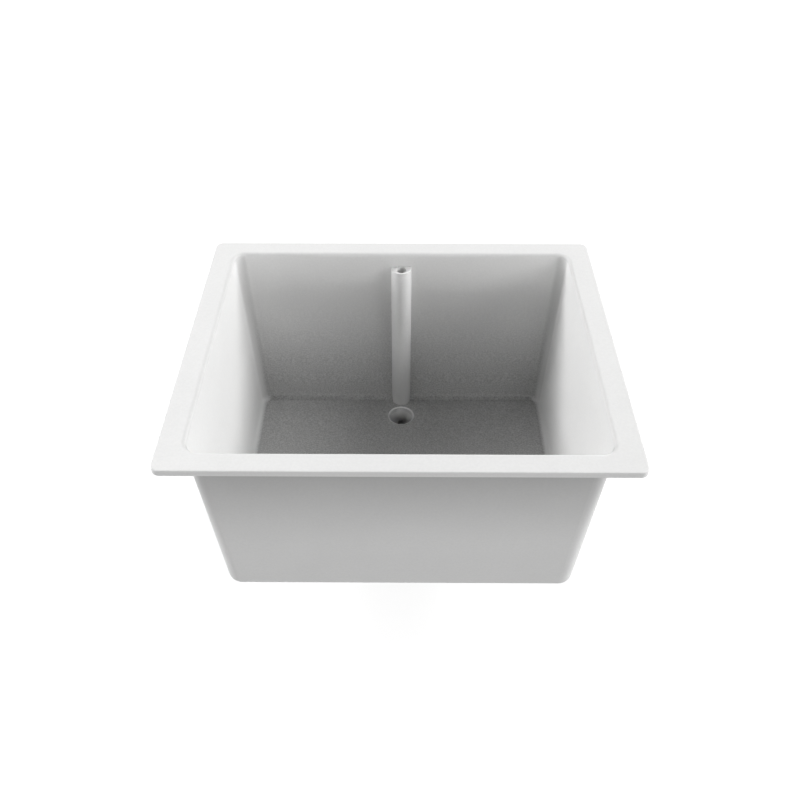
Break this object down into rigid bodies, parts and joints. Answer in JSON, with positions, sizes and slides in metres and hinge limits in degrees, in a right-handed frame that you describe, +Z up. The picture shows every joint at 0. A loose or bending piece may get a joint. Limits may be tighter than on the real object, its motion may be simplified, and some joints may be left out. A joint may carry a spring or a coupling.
{
  "type": "laboratory sink",
  "caption": "Drop-in moulded laboratory sink with a deep drafted bowl, flat rim, overflow column on the back wall and a union outlet under the floor.",
  "frame": {"origin": "middle of the rim's underside, on the plane of the bench top that the sink hangs in", "axes": "+X along the rim to the right, +Y towards the back wall with the overflow column, +Z up"},
  "size_m": [0.55, 0.45, 0.3865],
  "materials": {
    "white_polymer": "satin",
    "pipe_polymer": "satin",
    "ring_polymer": "satin",
    "seal_rubber": "matte"
  },
  "bodies": {
    "sink": {"basin": "white_polymer", "overflow_column": "white_polymer", "overflow_seal": "seal_rubber", "outlet_fitting": "white_polymer", "rim_seal": "seal_rubber"},
    "tail": {"outlet_tail": "pipe_polymer", "outlet_seal": "seal_rubber", "slip_ring": "ring_polymer"},
    "nut": {"union_nut": "pipe_polymer"}
  },
  "joints": [
    {"name": "tail_drop", "type": "slide", "parent": "sink", "child": "tail", "axis": [0, 0, -1], "range_m": [0, 0.0139]},
    {"name": "nut_turn", "type": "hinge", "parent": "tail", "child": "nut", "pos_m": [0, 0.13843, -0.335], "axis": [0, 0, -1], "range_deg": [0, 2160]}
  ],
  "couplings": [
    {"joint": "tail_drop", "follows": "nut_turn", "m_per_rad": 0.00036749}
  ]
}
